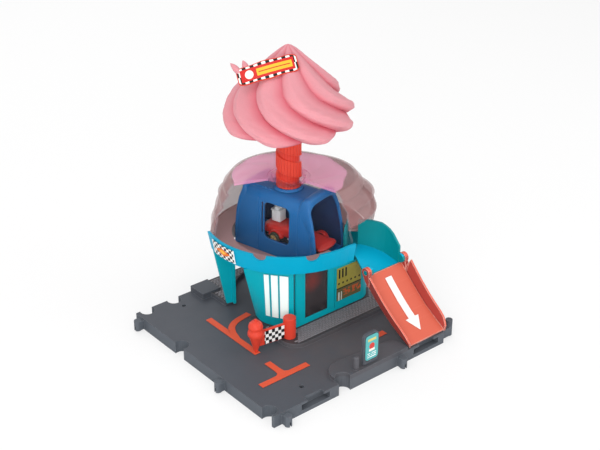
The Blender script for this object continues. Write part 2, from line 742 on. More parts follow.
def clip_slits():
    """The slit that lets each clip's post spring."""
    shapes = []
    for edge_x, edge_y, out, neck, height in clip_places():
        low, high = -OVERRUN, CLIP_LIFT + height / 2
        reach = neck + CLIP_POST_RADIUS + OVERRUN
        near = neck - CLIP_POST_RADIUS / 4
        if out[0]:
            xs = sorted((edge_x + out[0] * near, edge_x + out[0] * reach))
            shapes.append(box_shape((xs[0], edge_y - CLIP_SLIT / 2, low), (xs[1], edge_y + CLIP_SLIT / 2, high)))
        else:
            ys = sorted((edge_y + out[1] * near, edge_y + out[1] * reach))
            shapes.append(box_shape((edge_x - CLIP_SLIT / 2, ys[0], low), (edge_x + CLIP_SLIT / 2, ys[1], high)))
    return shapes


def make_board(look, paper):
    """The small upright board on the kerb and its sticker."""
    x, y = from_edges(BOARD_X, KERB_ITEM_Y)
    low = BASE_HEIGHT + KERB_HEIGHT + GAP
    outline = rounded_rectangle((-BOARD_WIDTH / 2, 0), (BOARD_WIDTH / 2, BOARD_HEIGHT), BOARD_CORNER)
    outline = [(px, pz) for px, pz in outline if pz > BOARD_CORNER * 1.01]
    outline = [(-BOARD_WIDTH / 2, 0), (BOARD_WIDTH / 2, 0)] + outline
    stand = Matrix.Translation((x, y + BOARD_THICKNESS / 2, low)) @ Matrix.Rotation(math.pi / 2, 4, "X")
    board = add_piece("menu_board", moved(prism_shape(outline, 0, BOARD_THICKNESS), stand), look)
    foot = box_shape((x - BOARD_WIDTH / 2 + BOARD_BORDER, y - BOARD_FOOT / 2, low),
                     (x + BOARD_WIDTH / 2 - BOARD_BORDER, y + BOARD_FOOT / 2, low + BOARD_FOOT / 2))
    shape_with(board, "board_foot", foot, "UNION")
    border = rounded_rectangle((-BOARD_WIDTH / 2 + BOARD_BORDER, BOARD_FOOT), (BOARD_WIDTH / 2 - BOARD_BORDER,
                               BOARD_HEIGHT - BOARD_BORDER), BOARD_CORNER - BOARD_BORDER)
    front = Matrix.Translation((x, y - BOARD_THICKNESS / 2 - GAP, low)) @ Matrix.Rotation(math.pi / 2, 4, "X")
    add_piece("menu_sticker", moved(prism_shape(border, 0, STICKER), front), paper)


def make_road_marks(paint):
    """Flat painted arrows on the road: a hooked one, a branched one and a short bar."""
    z0, z1 = BASE_HEIGHT + GAP, BASE_HEIGHT + GAP + MARK
    half = MARK_WIDTH / 2
    x, y = from_edges(MARK_LEFT_X, MARK_LEFT_Y)
    hook = curve_through([(x, y + MARK_HOOK_LONG * 0.55), (x + half * 1.5, y + MARK_HOOK_LONG * 0.66),
                          (x + half * 4.5, y + MARK_HOOK_LONG * 0.74), (x + half * 10, y + MARK_HOOK_LONG * 0.78)], 9)
    hook[:, 0] += half
    left = [tuple(p) for p in offset_path(hook, half)]
    right = [tuple(p) for p in offset_path(hook, -half)]
    bar = [(x - half, y), (x + half, y), (x + half, y + MARK_HOOK_LONG * 0.40)]
    outline = bar + [right[0]] + right[1:] + left[::-1]
    outline += [(x + half, y + MARK_HOOK_LONG * 0.62), (x + half, y + MARK_HOOK_LONG), (x - half, y + MARK_HOOK_LONG)]
    add_piece("road_mark_left", prism_shape(outline, z0, z1), paint)
    x, y = from_edges(MARK_FRONT_X, MARK_FRONT_Y)
    middle = x + MARK_FRONT_LONG * 0.5
    outline = [(x, y - half), (x + MARK_FRONT_LONG, y - half), (x + MARK_FRONT_LONG, y + half),
               (middle + half * 2.2, y + half), (middle + half * 1.2, y + half * 1.6), (middle + half, y + half * 3),
               (middle + half, y + MARK_BRANCH), (middle - half, y + MARK_BRANCH), (middle - half, y + half * 3),
               (middle - half * 1.2, y + half * 1.6), (middle - half * 2.2, y + half), (x, y + half)]
    add_piece("road_mark_front", prism_shape(outline, z0, z1), paint)
    x, y = from_edges(MARK_RAMP_X, MARK_RAMP_Y)
    add_piece("road_mark_ramp", box_shape((x, y - half, z0), (x + MARK_RAMP_LONG, y + half, z1)), paint)


def wall_levels():
    """Foot and head of the tower's walls."""
    return BASE_HEIGHT + PAVEMENT_HEIGHT + GAP, RING_LOW - GAP


def make_front_wall(look, paper, pane_look):
    """The flat front wall with its tinted door pane, which turns the corner to the right side."""
    low, high = wall_levels()
    path = [(-SLIT_X + SLIT_WIDTH / 2, -WALL_HALF), (WALL_RIGHT - WALL_CORNER, -WALL_HALF)]
    centre = (WALL_RIGHT - WALL_CORNER, -WALL_HALF + WALL_CORNER)
    for i in range(1, 9):
        turn = math.radians(-90 + 90 * i / 8)
        path.append((centre[0] + WALL_CORNER * math.cos(turn), centre[1] + WALL_CORNER * math.sin(turn)))
    path.append((WALL_RIGHT, -WALL_RIGHT_END_Y))
    inner = []
    for i, (x, y) in enumerate(path):
        if i < 2:
            inner.append((x, y + WALL))
        elif i == len(path) - 1:
            inner.append((x - WALL, y))
        else:
            share = 1 - WALL / WALL_CORNER
            inner.append((centre[0] + share * (x - centre[0]), centre[1] + share * (y - centre[1])))
    wall = add_piece("front_wall", prism_shape(path + inner[::-1], low, high), look)
    door = box_shape((-DOOR_LEFT_X, -WALL_HALF - OVERRUN, low + DOOR_SILL),
                     (-DOOR_RIGHT_X, -WALL_HALF + WALL + OVERRUN, high - DOOR_LINTEL))
    shape_with(wall, "doorway", door)
    middle = -WALL_HALF + WALL / 2
    pane = box_shape((-DOOR_LEFT_X + GAP, middle - DOOR_PANE / 2, low + DOOR_SILL + GAP),
                     (-DOOR_RIGHT_X - GAP, middle + DOOR_PANE / 2, high - DOOR_LINTEL - GAP))
    add_piece("door_pane", pane, pane_look)
    seam = box_shape((SEAM_X - SEAM_WIDTH / 2, -WALL_HALF - OVERRUN, low - OVERRUN),
                     (SEAM_X + SEAM_WIDTH / 2, -WALL_HALF + SEAM_WIDTH, high + OVERRUN))
    shape_with(wall, "wall_seam", seam)
    notch_low = chute_height(0.5) - CHUTE_WALL - GAP
    notch_x = CHUTE_LEFT_SHARES[-1][0] * CHUTE_END_Y
    notch = box_shape((notch_x, -WALL_HALF - OVERRUN, notch_low), (WALL_RIGHT + OVERRUN, -WALL_HALF + WALL_CORNER,
                                                                  high + OVERRUN))
    shape_with(wall, "chute_notch", notch)
    front = -WALL_HALF - GAP
    poster = box_shape((POSTER_LEFT_X, front - STICKER, low + POSTER_LIFT),
                       (POSTER_LEFT_X + POSTER_WIDTH, front, low + POSTER_LIFT + POSTER_HEIGHT))
    add_piece("wall_poster", poster, paper)


def striped_grid(offset, count, levels, spans=(0.0, 1.0), heights=(0.0, 1.0)):
    """Points of the curved wall, moved outwards by an offset."""
    low, high = wall_levels()
    fine = 97
    foot = curve_through(np.array(STRIPED_FOOT_SHARES) * WALL_HALF, fine)
    head = curve_through(np.array(STRIPED_TOP_SHARES) * WALL_HALF, fine)
    foot, head = offset_path(foot, -offset), offset_path(head, -offset)
    picks = np.linspace(spans[0] * (fine - 1), spans[1] * (fine - 1), count)
    columns = []
    for pick in picks:
        k = min(int(pick), fine - 2)
        t = pick - k
        start = foot[k] * (1 - t) + foot[k + 1] * t
        end = head[k] * (1 - t) + head[k + 1] * t
        rows = []
        for share in np.linspace(heights[0], heights[1], levels):
            plan = start * (1 - share) + end * share
            rows.append((plan[0], plan[1], low + share * (high - low)))
        columns.append(rows)
    return np.array(columns)


def make_striped_wall(look, paper):
    """The curved wall left of the doorway, flared towards the arch, and its three stripes."""
    wall = shell_shape(striped_grid(0.0, 21, 5), striped_grid(-WALL, 21, 5))
    add_piece("striped_wall", wall, look)
    heights = (STRIPE_LOW_SHARE, STRIPE_HIGH_SHARE)
    for name, spans in zip(STRIPE_NAMES, STRIPE_SPAN_SHARES):
        outside = striped_grid(2 * GAP + STICKER, 4, 3, spans, heights)
        add_piece(name, shell_shape(outside, striped_grid(2 * GAP, 4, 3, spans, heights)), paper)


def make_pillar(name, azimuth, look):
    """A tapered fin that carries the deck's edge, with a flange along its inner edge."""
    low, high = wall_levels()
    reach = PILLAR_TOP
    if azimuth != PILLAR_AZIMUTHS_DEG[0]:
        high = deck_low() - BACK_HEIGHT - 2 * GAP
        reach = PILLAR_BACK_TOP
    half = PILLAR_THICKNESS / 2
    outline = [(PILLAR_INNER, low), (PILLAR_FOOT, low), (reach, high), (PILLAR_INNER, high)]
    fin = prism_shape(outline, -half, half)
    upright = Matrix(((1, 0, 0, 0), (0, 0, 1, 0), (0, 1, 0, 0), (0, 0, 0, 1)))
    turn = Matrix.Rotation(math.radians(90 - azimuth), 4, "Z")
    pillar = add_piece(name, moved(fin, turn @ upright), look)
    flange = box_shape((PILLAR_INNER - PILLAR_THICKNESS / 2, -PILLAR_FLANGE / 2, low),
                       (PILLAR_INNER + PILLAR_THICKNESS / 2, PILLAR_FLANGE / 2, high))
    shape_with(pillar, name + "_flange", moved(flange, turn), "UNION")


def deck_low():
    """Underside of the deck."""
    return RING_LOW + RING_FLANGE + GAP


def ring_radius(height):
    """Outer radius of the flared ring at a height."""
    return RING_FOOT_RADIUS + (RING_RADIUS - RING_FOOT_RADIUS) * (height - RING_LOW) / RING_HEIGHT


def ring_path(radius):
    """Plan of the ring: an arc round the front, then a straight tail towards the chute."""
    path = []
    for i in range(33):
        azimuth = RING_END_DEG + (RING_START_DEG - RING_END_DEG) * i / 32
        path.append(around(azimuth, radius)[:2])
    end, before = np.array(path[-1]), np.array(path[-2])
    ahead = (end - before) / np.linalg.norm(end - before)
    outward = np.array(around(RING_START_DEG, 1)[:2])
    path.append(tuple(end + ahead * RING_TAIL + outward * RING_TAIL_SPREAD))
    return path


def arc_path(radius, start, end, steps):
    """Plan of a part circle between two azimuths."""
    return [around(end + (start - end) * i / steps, radius)[:2] for i in range(steps + 1)]


def raised_strip(outer, inner, z0, z1):
    """A wall between two plan paths, from z0 to z1."""
    sides = [[[(x, y, z0), (x, y, z1)] for x, y in path] for path in (outer, inner)]
    return shell_shape(*sides)


def make_ring(look, paper):
    """The band round the tower's head with its drip notches, and its sticker."""
    high = RING_LOW + RING_HEIGHT
    sides = []
    for inset in (0.0, RING_WALL):
        low_path, high_path = ring_path(RING_FOOT_RADIUS - inset), ring_path(RING_RADIUS - inset)
        sides.append([[(*a, RING_LOW), (*b, high)] for a, b in zip(low_path, high_path)])
    ring = add_piece("ring_band", shell_shape(*sides), look)
    ends = (RING_START_DEG + 1, RING_END_DEG - 1)
    outer, inner = arc_path(RING_FOOT_RADIUS - RING_WALL / 2, *ends, 32), arc_path(RING_FLANGE_INNER, *ends, 32)
    shape_with(ring, "ring_flange", raised_strip(outer, inner, RING_LOW + GAP / 3, RING_LOW + RING_FLANGE), "UNION")
    notches = []
    for azimuth in NOTCH_AZIMUTHS_DEG:
        bar = disc_shape((0, 0), NOTCH_RADIUS, RING_RADIUS - 3 * RING_WALL, RING_RADIUS + OVERRUN, 20)
        lay = Matrix.Rotation(math.radians(90 - azimuth), 4, "Z") @ Matrix.Rotation(math.pi / 2, 4, "Y")
        notches.append(moved(bar, Matrix.Translation((0, 0, high + NOTCH_RADIUS / 12)) @ lay))
    shape_with(ring, "drip_notches", together(*notches))
    steps = 9
    outside, inside = [], []
    for i in range(steps):
        azimuth = BADGE_START_DEG + (BADGE_END_DEG - BADGE_START_DEG) * i / (steps - 1)
        for rows, lift in ((outside, 2 * GAP + STICKER), (inside, 2 * GAP)):
            levels = (RING_LOW + BADGE_MARGIN, high - BADGE_MARGIN)
            rows.append([around(azimuth, ring_radius(z) + lift, z) for z in levels])
    add_piece("ring_badge", shell_shape(outside, inside), paper)
    ends = (BACK_START_DEG, BACK_END_DEG)
    outer, inner = arc_path(BACK_RADIUS, *ends, 40), arc_path(BACK_RADIUS - RING_WALL, *ends, 40)
    top = deck_low() - GAP
    add_piece("back_band", raised_strip(outer, inner, top - BACK_HEIGHT, top), look)


def dome_radius(azimuth, share):
    """Radius of the dome: a tiered cone, a hood that swells over the exit, and slow waves."""
    heights = [h for h, _ in DOME_PROFILE_SHARES]
    widths = [w for _, w in DOME_PROFILE_SHARES]
    width = np.interp(share, heights, widths) * DOME_RADIUS
    ring_share = (RING_LOW + RING_HEIGHT - dome_floor()) / (DOME_TOP - dome_floor())
    climb = max(0.0, (share - ring_share) / (1 - ring_share))
    wave = math.cos(DOME_WAVES * math.radians(azimuth) + share * 2 * math.pi)
    off = abs((azimuth - HOOD_DEG + 180) % 360 - 180) / HOOD_SPREAD_DEG
    towards = math.cos(min(1.0, off) * math.pi / 2) ** 1.2
    swell = np.interp(share, [h for h, _ in HOOD_SHARES], [w for _, w in HOOD_SHARES])
    return width + HOOD_REACH * towards * swell + DOME_WAVE * wave * math.sin(math.pi * min(1.0, climb * 1.15))


def dome_grid(start, end, low, high, offset, columns, rows):
    """Points of the dome between two azimuths and two heights."""
    floor = dome_floor()
    grid = []
    for i in range(columns):
        azimuth = start + (end - start) * i / (columns - 1)
        column = []
        for k in range(rows):
            z = low + (high - low) * k / (rows - 1)
            share = (z - floor) / (DOME_TOP - floor)
            column.append(around(azimuth, dome_radius(azimuth, share) - offset, z))
        grid.append(column)
    return np.array(grid)


def dome_floor():
    """Where the dome's lower edge rests on the deck."""
    return deck_low() + DECK_THICKNESS + GAP


def make_deck(look):
    """The flat deck under the dome, round the cab's way."""
    low = deck_low()
    ends = (DECK_START_DEG, DECK_END_DEG)
    outer, inner = arc_path(RING_FOOT_RADIUS - RING_WALL - GAP, *ends, 48), arc_path(DECK_INNER, *ends, 48)
    add_piece("dome_deck", raised_strip(outer, inner, low, low + DECK_THICKNESS), look)


def make_dome(shell_look, clear_look):
    """The see-through dome, open over the exit, and its clear front window."""
    low = dome_floor()
    start, end = WINDOW_END_DEG + GAP, EXIT_END_DEG + 360
    grids = [dome_grid(start, end, low, DOME_TOP, wall, 37, 10) for wall in (0.0, DOME_WALL)]
    dome = add_piece("dome_shell", shell_shape(*grids), shell_look, smooth_deg=50)
    reach = DOME_RADIUS + HOOD_REACH + OVERRUN
    corners = [around(a, r)[:2] for a, r in ((EXIT_START_DEG, COLLAR_RADIUS), (EXIT_START_DEG, 2 * reach),
                                             (EXIT_END_DEG + OVERRUN + 5, 2 * reach),
                                             (EXIT_END_DEG + OVERRUN + 5, COLLAR_RADIUS))]
    shape_with(dome, "dome_exit", prism_shape(corners, low - OVERRUN, EXIT_TOP))
    margin = math.degrees(GAP / DOME_RADIUS)
    grids = [dome_grid(WINDOW_START_DEG + 2 * margin, WINDOW_END_DEG - 2 * margin, low, DOME_TOP, wall, 20, 10)
             for wall in (0.0, DOME_WALL)]
    add_piece("dome_window", shell_shape(*grids), clear_look, smooth_deg=50)


def cap_grid(start, end, height, columns, inner, drop):
    """Points of the frosting cap between the dome's rim and the collar."""
    grid = []
    for i in range(columns):
        azimuth = start + (end - start) * i / (columns - 1)
        rim = dome_radius(azimuth, 1.0) - DOME_WALL - GAP - drop
        column = []
        for k in range(4):
            share = k / 3
            radius = inner + (rim - inner) * share
            column.append(around(azimuth, radius, height))
        grid.append(column)
    return np.array(grid)


def make_cap(pink, clear_look):
    """The frosting cap with the collar that holds the guide bush, and its clear front."""
    high = DOME_TOP
    low = high - CAP_THICKNESS
    margin = math.degrees(GAP / COLLAR_RADIUS)
    cap = add_piece("frosting_cap", shell_shape(
        cap_grid(WINDOW_END_DEG, WINDOW_START_DEG + 360, high, 33, COLLAR_RADIUS - GAP, 0.0),
        cap_grid(WINDOW_END_DEG, WINDOW_START_DEG + 360, low, 33, COLLAR_RADIUS - GAP, 0.0)), pink)
    hole = COLUMN_RADIUS + GAP + BUSH_WALL + GAP
    collar = turned_shape([(hole, high - COLLAR_HEIGHT), (COLLAR_RADIUS, high - COLLAR_HEIGHT),
                           (COLLAR_RADIUS, high - GAP / 3), (hole, high - GAP / 3)], 40, closed=True)
    shape_with(cap, "cap_collar", collar, "UNION")
    pane = shell_shape(
        cap_grid(WINDOW_START_DEG + 2 * margin, WINDOW_END_DEG - 2 * margin, high, 22, COLLAR_RADIUS + GAP, 0.0),
        cap_grid(WINDOW_START_DEG + 2 * margin, WINDOW_END_DEG - 2 * margin, low, 22, COLLAR_RADIUS + GAP, 0.0))
    add_piece("cap_window", pane, clear_look)


def make_bush(look, pivot):
    """The guide bush, keyed to the column, that turns in the cap's collar."""
    hole = COLUMN_RADIUS + GAP
    outer = hole + BUSH_WALL
    low, high = DOME_TOP - BUSH_HEIGHT, DOME_TOP - GAP / 3
    flange = outer + BUSH_WALL / 2
    profile = [(hole, low - BUSH_WALL / 3), (flange, low - BUSH_WALL / 3), (flange, low - GAP), (outer, low - GAP),
               (outer, high), (hole, high)]
    add_piece("guide_bush", turned_shape(profile, 40, closed=True), look, pivot)


def make_column(look, steel, pivot):
    """The ribbed column with its helical groove, its top spigot and its screw."""
    around_steps, rows = 48, 20
    grid = []
    for i in range(around_steps):
        turn = 2 * math.pi * i / around_steps
        rib = 0.5 - 0.5 * math.cos(COLUMN_RIBS * turn)
        column = []
        for k in range(rows):
            z = COLUMN_LOW + (COLUMN_HIGH - COLUMN_LOW) * k / (rows - 1)
            height = z + COLUMN_LEAD * turn / (2 * math.pi)
            off = abs((height / COLUMN_LEAD + 0.5) % 1.0 - 0.5) * COLUMN_LEAD
            groove = max(0.0, min(1.0, (COLUMN_GROOVE / 2 - off) / (COLUMN_GROOVE / 6)))
            radius = COLUMN_RADIUS - COLUMN_RIB_DEPTH * rib * (1 - groove) - COLUMN_GROOVE_DEPTH * groove
            column.append((radius * math.cos(turn), radius * math.sin(turn), z))
        grid.append(column)
    verts = [tuple(p) for column in grid for p in column]
    faces = []
    for i in range(around_steps):
        j = (i + 1) % around_steps
        for k in range(rows - 1):
            faces.append((i * rows + k, j * rows + k, j * rows + k + 1, i * rows + k + 1))
    faces.append(tuple(i * rows for i in range(around_steps))[::-1])
    faces.append(tuple(i * rows + rows - 1 for i in range(around_steps)))
    column = add_piece("screw_column", (verts, faces), look, pivot)
    top = COLUMN_HIGH + COLUMN_SPIGOT_HEIGHT
    shape_with(column, "column_spigot", disc_shape((0, 0), COLUMN_SPIGOT_RADIUS, COLUMN_HIGH - OVERRUN, top), "UNION")
    shape_with(column, "column_foot", disc_shape((0, 0), COLUMN_FOOT_RADIUS, COLUMN_LOW - COLUMN_FOOT,
                                                 COLUMN_LOW + OVERRUN), "UNION")
    head = turned_shape([(0, top + GAP), (COLUMN_SPIGOT_RADIUS * 1.3, top + GAP),
                         (COLUMN_SPIGOT_RADIUS * 1.3, top + BUSH_WALL / 2), (COLUMN_SPIGOT_RADIUS * 0.6,
                         top + BUSH_WALL), (0, top + BUSH_WALL)], 24)
    add_piece("knob_screw", head, steel, pivot)


def swirl_crest(turn):
    """Share of a lobe's height round the swirl: steep on one side of each lobe and slow on the other."""
    phase = (turn * SWIRL_LOBES / (2 * math.pi) + 0.5) % 1.0
    lobe = math.sin(math.pi * phase ** SWIRL_LEAN_SHARE)
    return SWIRL_CREST_SHARES[0] * lobe ** 0.75 + SWIRL_CREST_SHARES[1] * lobe ** 3


def swirl_surface(inset, columns, rows):
    """Grid of the swirl: a pointed profile with slanting lobes that twist as they rise."""
    heights = [h for h, _ in SWIRL_PROFILE_SHARES]
    widths = [w for _, w in SWIRL_PROFILE_SHARES]
    grid = []
    for i in range(columns):
        turn = 2 * math.pi * i / columns
        column = []
        for k in range(rows):
            share = heights[-1] * (k / (rows - 1)) ** 0.9
            lean = turn - math.radians(SWIRL_TWIST_DEG) * float(np.interp(share, *np.array(SWIRL_TURN_SHARES).T))
            swell = 1 - SWIRL_LOBE_SHARE * (1 - swirl_crest(turn)) * 2
            radius = SWIRL_RADIUS * np.interp(share, heights, widths) * swell - inset
            column.append((radius * math.cos(lean), radius * math.sin(lean), SWIRL_LOW + share * SWIRL_HEIGHT))
        grid.append(column)
    return np.array(grid)


def make_swirl(look, pivot):
    """The hollow swirl knob and the plate that closes it and takes the column."""
    columns, rows = 48, 13
    outer = swirl_surface(0.0, columns, rows)
    verts = [tuple(p) for p in outer.reshape(-1, 3)]
    tip = len(verts)
    verts.append((0.0, 0.0, SWIRL_LOW + SWIRL_HEIGHT))
    faces = []
    for i in range(columns):
        j = (i + 1) % columns
        for k in range(rows - 1):
            faces.append((i * rows + k, j * rows + k, j * rows + k + 1, i * rows + k + 1))
        faces.append((i * rows + rows - 1, j * rows + rows - 1, tip))
    faces.append(tuple(i * rows for i in range(columns))[::-1])
    swirl = add_piece("swirl_knob", (verts, faces), look, pivot, smooth_deg=60)
    slim = SWIRL_RADIUS * (1 - 2 * SWIRL_LOBE_SHARE) - SWIRL_WALL
    rim = slim * SWIRL_PLATE_SHARE
    profile = [(0, SWIRL_LOW - OVERRUN), (rim + GAP, SWIRL_LOW - OVERRUN), (rim + GAP, SWIRL_LOW + SWIRL_PLATE + 2 * GAP)]
    for height, width in SWIRL_PROFILE_SHARES[2:9]:
        profile.append((slim * width, SWIRL_LOW + height * SWIRL_HEIGHT))
    profile.append((0, SWIRL_LOW + SWIRL_PROFILE_SHARES[8][0] * SWIRL_HEIGHT))
    shape_with(swirl, "swirl_hollow", turned_shape(profile))
    low = SWIRL_LOW + GAP
    plate = turned_shape([(COLUMN_SPIGOT_RADIUS + GAP, low), (rim, low), (rim, low + SWIRL_PLATE),
                          (COLUMN_RADIUS, low + SWIRL_PLATE), (COLUMN_RADIUS, low + COLUMN_SPIGOT_HEIGHT - OVERRUN),
                          (COLUMN_SPIGOT_RADIUS + GAP, low + COLUMN_SPIGOT_HEIGHT - OVERRUN)], closed=True)
    add_piece("swirl_plate", plate, look, pivot)
    return swirl


def sign_matrix():
    """Place of the sign: beside the tip, leaning back and tilted up to the right."""
    facing = math.radians(SIGN_FACING_DEG)
    out = Vector((math.sin(facing), math.cos(facing), 0))
    right = Vector((-out.y, out.x, 0))
    centre = -SIGN_SIDE * right + SIGN_FORWARD * out + Vector((0, 0, SWIRL_LOW + SIGN_LIFT))
    lean = math.radians(SIGN_LEAN_DEG)
    normal = out * math.cos(lean) + Vector((0, 0, math.sin(lean)))
    up = normal.cross(right)
    frame = Matrix.Identity(4)
    for row in range(3):
        frame[row][0], frame[row][1], frame[row][2], frame[row][3] = right[row], up[row], normal[row], centre[row]
    return frame @ Matrix.Rotation(math.radians(SIGN_TILT_DEG), 4, "Z")


def sign_outline(border):
    """A slanted plate with round corners."""
    half_long, half_high = SIGN_LENGTH / 2 - border, SIGN_HEIGHT / 2 - border
    plain = rounded_rectangle((-half_long, -half_high), (half_long, half_high), SIGN_SLANT - border)
    return [(x - y / half_high * SIGN_SLANT / 2, y) for x, y in plain]


def make_sign(look, paper, pivot, swirl):
    """The sign plate on the swirl, its printed face, and its peg in a hole of the swirl."""
    frame = sign_matrix()
    plate = prism_shape(sign_outline(0.0), 0, SIGN_THICKNESS)
    sign = add_piece("sign_plate", moved(plate, frame), look, pivot)
    place = (SIGN_PEG_SIDE, -SIGN_PEG_LIFT)
    peg = disc_shape(place, SIGN_PEG_RADIUS, -SIGN_PEG_LENGTH, SIGN_THICKNESS / 2, 14)
    shape_with(sign, "sign_peg", moved(peg, frame), "UNION")
    hole = disc_shape(place, SIGN_PEG_RADIUS + GAP, -SIGN_PEG_LENGTH - GAP, 0, 14)
    shape_with(swirl, "sign_hole", moved(hole, frame))
    face = prism_shape(sign_outline(SIGN_BORDER), SIGN_THICKNESS + GAP, SIGN_THICKNESS + GAP + STICKER)
    add_piece("sign_face", moved(face, frame), paper, pivot)
    return sign


def cab_section(shrink, low):
    """The cab's cross-section: side and height, wide below and rounded above."""
    half, top_half = CAB_WIDTH / 2 - shrink, CAB_TOP_WIDTH / 2 - shrink
    shoulder, roof = CAB_SHOULDER - shrink, CAB_ROOF - shrink
    points = []
    for share, narrow in ((0.0, 0.0), (0.30, 0.06), (0.60, 0.30), (0.85, 0.70)):
        points.append((-half + (half - top_half) * narrow, low + (shoulder - low) * share))
    points.append((-top_half, shoulder))
    for share in (0.35, 0.75):
        points.append((-top_half * (1 - share * 0.35), shoulder + (roof - shoulder) * math.sin(share * math.pi / 2)))
    points.append((0.0, roof))
    mirror = [(-x, z) for x, z in points[:-1]][::-1]
    return points + mirror


def cab_reach(height):
    """How far the cab's open ends stand from its middle at a height."""
    share = min(1, max(0, (height - CAB_LOW) / (CAB_SHOULDER - CAB_LOW)))
    return CAB_LENGTH / 2 + CAB_FLARE * float(np.interp(share, *np.array(CAB_FLARE_SHARES).T))


def cab_tube(shrink, start, end, low):
    """A stretch of the cab's section; each end is a side and how far it lies inside the open end."""
    section = cab_section(shrink, low)
    count = len(section)
    verts = []
    for side, inset in (start, end):
        verts += [(side * (cab_reach(z) - inset), y, z) for y, z in section]
    faces = []
    for i in range(count // 2):
        j, mirrored, next_mirrored = i + 1, count - 1 - i, count - 2 - i
        strip = (i, j, next_mirrored, mirrored) if j < next_mirrored else (i, j, mirrored)
        faces += [strip, tuple(count + k for k in strip)[::-1]]
    for i in range(count):
        j = (i + 1) % count
        faces.append((i, j, count + j, count + i)[::-1])
    return verts, faces


def make_lift_plates(look, pivot):
    """Two plates at the cab's foot that rise with it and fill its round way beside it."""
    reach, side = DECK_INNER - LIFT_PLATE_CLEARANCE, CAB_WIDTH / 2 + GAP
    start = math.asin(side / reach)
    low = CAB_LOW
    for name, base in (("lift_plate_left", 0.0), ("lift_plate_right", math.pi)):
        turns = np.linspace(base + start, base + math.pi - start, 25)
        outline = [(reach * math.cos(t), reach * math.sin(t)) for t in turns]
        add_piece(name, moved(prism_shape(outline, low, low + DECK_THICKNESS), cab_matrix()), look, pivot)


def make_cab(look, dark, red, pivot):
    """The lift cab: a hood open at both ends, with rims, a side window, a floor and a roof hub."""
    place = cab_matrix()
    half = cab_reach(CAB_FLOOR_TOP)
    hood = add_piece("cab_hood", moved(cab_tube(0.0, (-1, 0), (1, 0), CAB_LOW), place), look, pivot)
    rims = []
    for start, end in (((-1, GAP), (-1, CAB_RIB_LENGTH)), ((1, CAB_RIB_LENGTH), (1, GAP))):
        rims.append(cab_tube(-CAB_RIB / 2, start, end, CAB_SHOULDER - CAB_RIB_LENGTH))
    shape_with(hood, "cab_rims", moved(together(*rims), place), "UNION")
    hollow = cab_tube(CAB_WALL, (-1, -OVERRUN), (1, -OVERRUN), CAB_LOW - OVERRUN)
    shape_with(hood, "cab_hollow", moved(hollow, place))
    side = CAB_WIDTH / 2 + OVERRUN
    window = [(-CAB_WINDOW_START, CAB_WINDOW_LOW), (CAB_WINDOW_END, CAB_WINDOW_LOW),
              (CAB_WINDOW_END, CAB_WINDOW_HIGH - CAB_RIB_LENGTH), (CAB_WINDOW_END - CAB_RIB_LENGTH, CAB_WINDOW_HIGH),
              (-CAB_WINDOW_START, CAB_WINDOW_HIGH)]
    stand = Matrix(((1, 0, 0, 0), (0, 0, 1, 0), (0, 1, 0, 0), (0, 0, 0, 1)))
    shape_with(hood, "cab_side_window", moved(prism_shape(window, -side, -CAB_TOP_WIDTH / 4), place @ stand))
    bore = disc_shape((0, 0), COLUMN_FOOT_RADIUS + GAP, CAB_SHOULDER, CAB_ROOF + OVERRUN)
    shape_with(hood, "cab_bore", bore)
    floor_half = CAB_WIDTH / 2 - CAB_WALL - GAP
    plate = box_shape((-half + GAP, -floor_half, CAB_FLOOR_TOP - CAB_FLOOR_PLATE), (half - GAP, floor_half, CAB_FLOOR_TOP))
    floor = add_piece("cab_floor", moved(plate, place), look, pivot)
    runners = [box_shape((-half + GAP, s * (floor_half - CAB_WALL) - CAB_WALL / 2, CAB_LOW),
                         (half - GAP, s * (floor_half - CAB_WALL) + CAB_WALL / 2, CAB_FLOOR_TOP - CAB_FLOOR_PLATE / 2))
               for s in (-1, 1)]
    shape_with(floor, "floor_runners", moved(together(*runners), place), "UNION")
    low = CAB_ROOF + GAP
    profile = [(COLUMN_FOOT_RADIUS + GAP, low), (CAB_HUB_RADIUS, low), (CAB_HUB_RADIUS * 0.9, COLUMN_LOW - GAP),
               (COLUMN_FOOT_RADIUS + GAP, COLUMN_LOW - GAP)]
    add_piece("cab_hub", turned_shape(profile, 32, closed=True), look, pivot)
    nut_low = COLUMN_LOW - COLUMN_FOOT - GAP - CAB_WALL
    nut = turned_shape([(0, nut_low), (COLUMN_FOOT_RADIUS * 1.3, nut_low), (COLUMN_FOOT_RADIUS * 1.3, nut_low + CAB_WALL / 2),
                        (COLUMN_FOOT_RADIUS * 0.9, nut_low + CAB_WALL), (0, nut_low + CAB_WALL)], 24)
    add_piece("cab_screw", nut, dark, pivot)


def chute_paths(count):
    """Left and right plan paths of the chute, from the tower to the ramp."""
    left = curve_through(np.array(CHUTE_LEFT_SHARES) * CHUTE_END_Y, count)
    right = curve_through(np.array(CHUTE_RIGHT_SHARES) * CHUTE_END_Y, count)
    return left, right


def chute_height(share):
    """Height of the chute's floor: an even S from the tower to the ramp."""
    ease = share * share * (3 - 2 * share)
    return CHUTE_FLOOR_HIGH + (CHUTE_FLOOR_LOW - CHUTE_FLOOR_HIGH) * ease


